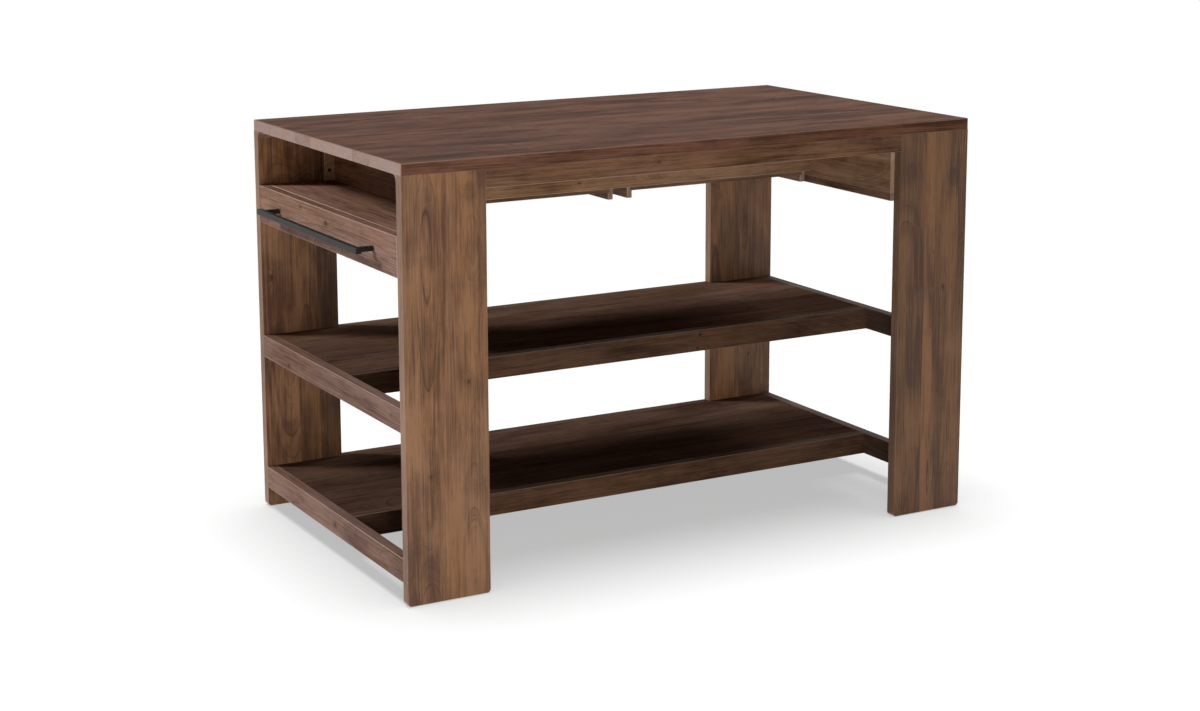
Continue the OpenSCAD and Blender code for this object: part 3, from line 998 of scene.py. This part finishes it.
class ISLAND_OT_shelves(bpy.types.Operator):
    """Makes the middle and the lower shelf with their rails and battens"""

    bl_idname = "island.shelves"
    bl_label = "Shelves"

    def execute(self, context):
        butts = {
            "shelf_panel": ("-X", "+X", "-Y", "+Y"),
            "seat_rail": ("-X", "+X", "+Y"),
            "work_rail": ("-X", "+X", "-Y"),
            "end_rail_left": ("+X", "-Y", "+Y"),
            "end_rail_right": ("-X", "-Y", "+Y"),
            "shelf_battens": ("+Z", "-Y", "+Y"),
        }
        tones = {
            "low_shelf_panel": 0.78,
            "mid_seat_rail": 0.5, "low_seat_rail": 0.66, "mid_work_rail": 0.66, "low_work_rail": 0.66,
            "mid_end_rail_left": 0.95, "low_end_rail_left": 0.95,
            # The right end rails are darker than the left ones as painted shade, which also hides the lit
            # strip on their tops.
            "mid_end_rail_right": 0.5, "low_end_rail_right": 0.5,
        }
        for level in ("mid", "low"):
            for part, tight in butts.items():
                board(f"{level}_{part}", tight=tight, tone=tones.get(f"{level}_{part}", 1.0))
        return {"FINISHED"}


class ISLAND_OT_end_drawer(bpy.types.Operator):
    """Makes the shallow drawer under the left niche"""

    bl_idname = "island.end_drawer"
    bl_label = "End drawer"

    def execute(self, context):
        board("end_drawer_runners")
        board("end_drawer_front", tone=1.25)
        for part in ("side_seat", "side_work", "back", "bottom"):
            board(f"end_drawer_{part}")
        return {"FINISHED"}


class ISLAND_OT_wide_drawers(bpy.types.Operator):
    """Makes the two wide drawers of the working side"""

    bl_idname = "island.wide_drawers"
    bl_label = "Wide drawers"

    def execute(self, context):
        for side in ("left", "right"):
            for part in ("front", "side_left", "side_right", "back", "bottom"):
                board(f"{side}_drawer_{part}")
        return {"FINISHED"}


class ISLAND_OT_pulls(bpy.types.Operator):
    """Makes the three bar pulls"""

    bl_idname = "island.pulls"
    bl_label = "Bar pulls"

    def execute(self, context):
        for drawer in ("end", "left", "right"):
            pull(f"{drawer}_drawer_pull", context.scene.island_work.pull_arris)
        return {"FINISHED"}


class ISLAND_OT_screws(bpy.types.Operator):
    """Makes the screws of the battens and of the pulls"""

    bl_idname = "island.screws"
    bl_label = "Screws"

    def execute(self, context):
        for node in ("batten_screws", "end_drawer_screws", "left_drawer_screws", "right_drawer_screws"):
            screws(node)
        return {"FINISHED"}


class ISLAND_OT_felt_pads(bpy.types.Operator):
    """Makes the felt glides under the legs"""

    bl_idname = "island.felt_pads"
    bl_label = "Felt glides"

    def execute(self, context):
        glides("felt_pads")
        return {"FINISHED"}


def lamp(name, kind, travel, strength):
    """A lamp whose light travels that way."""
    light = bpy.data.lights.new(name, kind)
    light.energy = strength
    placed = bpy.data.objects.new(name, light)
    placed.rotation_mode = "QUATERNION"
    placed.rotation_quaternion = Vector(travel).to_track_quat("-Z", "Y")
    bpy.context.scene.collection.objects.link(placed)
    return placed


def distant(name, travel, strength, softness, floor, link):
    """A lamp far off that fills that many degrees of the sky.

    As EXCLUDE it lights all but the floor, as INCLUDE the floor alone.
    """
    placed = lamp(name, "SUN", travel, strength)
    placed.data.angle = math.radians(softness)
    lit = bpy.data.collections.new(name + "_lights")
    lit.objects.link(floor)
    lit.collection_objects[0].light_linking.link_state = link
    placed.light_linking.receiver_collection = lit


def softbox(name, place, target, size, strength):
    """A square lamp that leaves no glare; strength is in watts."""
    placed = lamp(name, "AREA", Vector(target) - Vector(place), strength)
    placed.data.shape, placed.data.size = "SQUARE", size
    placed.location = place
    placed.visible_glossy = False


def add_camera():
    """The photograph's camera, solved from the unit's own edges."""
    data = bpy.data.cameras.new("camera")
    data.sensor_width, data.lens = 36.0, 64.605
    data.shift_x, data.shift_y = 0.02533, -0.10579
    data.clip_start, data.clip_end = 0.05, 100.0
    camera = bpy.data.objects.new("camera", data)
    place = Matrix.Translation((-2.3955, -4.258, 1.522))
    azimuth, down, roll = (math.radians(angle) for angle in (28.64, 10.02, -0.29))
    turn = (
        Matrix.Rotation(-azimuth, 4, "Z")
        @ Matrix.Rotation(math.pi / 2 - down, 4, "X")
        @ Matrix.Rotation(roll, 4, "Z")
    )
    camera.matrix_world = place @ turn
    bpy.context.scene.collection.objects.link(camera)
    bpy.context.scene.camera = camera


def floor_finish():
    """Pale matt floor that shows white to the camera and keeps soft shadows near the unit."""
    lift, fade_start, fade_end = 0.48, 2.6, 4.6
    f = Finish(bpy.data.materials.new("floor_finish"))
    seen = f.seen()
    matt = f.node("ShaderNodeBsdfDiffuse", None, {"Color": FLOOR_GREY})
    glow = f.node("ShaderNodeEmission", None, {"Color": WHITE, "Strength": seen * lift})
    near = f.node("ShaderNodeAddShader", None, {0: matt, 1: glow})
    white = f.node("ShaderNodeEmission", None, {"Color": WHITE, "Strength": seen})
    x, y, _ = f.split(f.node("ShaderNodeTexCoord", output="Object"))
    far = (x * x + y * y).root().ramp(fade_start, fade_end)
    return f.ends_in(f.node("ShaderNodeMixShader", None, {0: far, 1: near, 2: white}))


def white_world(ambient):
    """White to the camera and in reflections; a low even light for everything else."""
    f = Finish(bpy.data.worlds.new("studio"), "ShaderNodeOutputWorld")
    strength = ambient + f.seen() * (1.0 - ambient)
    light = f.node("ShaderNodeBackground", None, {"Color": WHITE, "Strength": strength})
    bpy.context.scene.world = f.ends_in(light)


def round_floor(radius):
    """The floor that the unit stands on."""
    bm = bmesh.new()
    bmesh.ops.create_circle(bm, cap_ends=True, segments=96, radius=radius)
    mesh = bpy.data.meshes.new("floor")
    bm.to_mesh(mesh)
    bm.free()
    mesh.materials.append(floor_finish())
    floor = bpy.data.objects.new("floor", mesh)
    bpy.context.scene.collection.objects.link(floor)
    return floor


class ISLAND_OT_stage(bpy.types.Operator):
    """Makes the camera, the lamps and the pale floor"""

    bl_idname = "island.stage"
    bl_label = "Stage"

    def execute(self, context):
        stage = context.scene.island_stage
        context.scene.view_settings.view_transform = "Standard"
        add_camera()
        white_world(stage.ambient)
        floor = round_floor(stage.floor_radius)
        distant("key_lamp", (1.0, -0.66, -0.86), stage.key, softness=14, floor=floor, link="EXCLUDE")
        distant("side_lamp", (-1.0, -0.32, -0.85), stage.side, softness=24, floor=floor, link="EXCLUDE")
        softbox(
            "fill_lamp", place=(-1.35, -3.4, 0.45), target=(-0.3, -0.2, 0.45), size=0.9, strength=stage.fill
        )
        distant("floor_lamp", (0.0, -0.04, -1.0), stage.overhead, softness=34, floor=floor, link="INCLUDE")
        return {"FINISHED"}


GROUPS = {"island_work": IslandWork, "island_finish": IslandFinish, "island_stage": IslandStage}
STEPS = (
    ISLAND_OT_worktop, ISLAND_OT_legs, ISLAND_OT_rails, ISLAND_OT_drawer_bay, ISLAND_OT_niches,
    ISLAND_OT_shelves, ISLAND_OT_end_drawer, ISLAND_OT_wide_drawers, ISLAND_OT_pulls,
    ISLAND_OT_screws, ISLAND_OT_felt_pads, ISLAND_OT_stage,
)


class ISLAND_PT_unit(bpy.types.Panel):
    """Sizes, colours and steps of the kitchen island unit."""

    bl_idname = "ISLAND_PT_unit"
    bl_label = "Kitchen Island Unit"
    bl_space_type = "VIEW_3D"
    bl_region_type = "UI"
    bl_category = "Island"

    def draw(self, context):
        for group in GROUPS:
            settings = getattr(context.scene, group)
            column = self.layout.column()
            for name in settings.bl_rna.properties.keys():
                if name not in ("rna_type", "name"):
                    column.prop(settings, name)
        for step in STEPS:
            self.layout.operator(step.bl_idname)


def register():
    for cls in (*GROUPS.values(), *STEPS, ISLAND_PT_unit):
        bpy.utils.register_class(cls)
    for name, group in GROUPS.items():
        setattr(bpy.types.Scene, name, PointerProperty(type=group))


def unregister():
    for name in GROUPS:
        delattr(bpy.types.Scene, name)
    for cls in reversed((*GROUPS.values(), *STEPS, ISLAND_PT_unit)):
        bpy.utils.unregister_class(cls)


def main():
    register()
    for step in STEPS:
        getattr(bpy.ops.island, step.bl_idname.split(".")[1])()


if __name__ == "__main__":
    main()
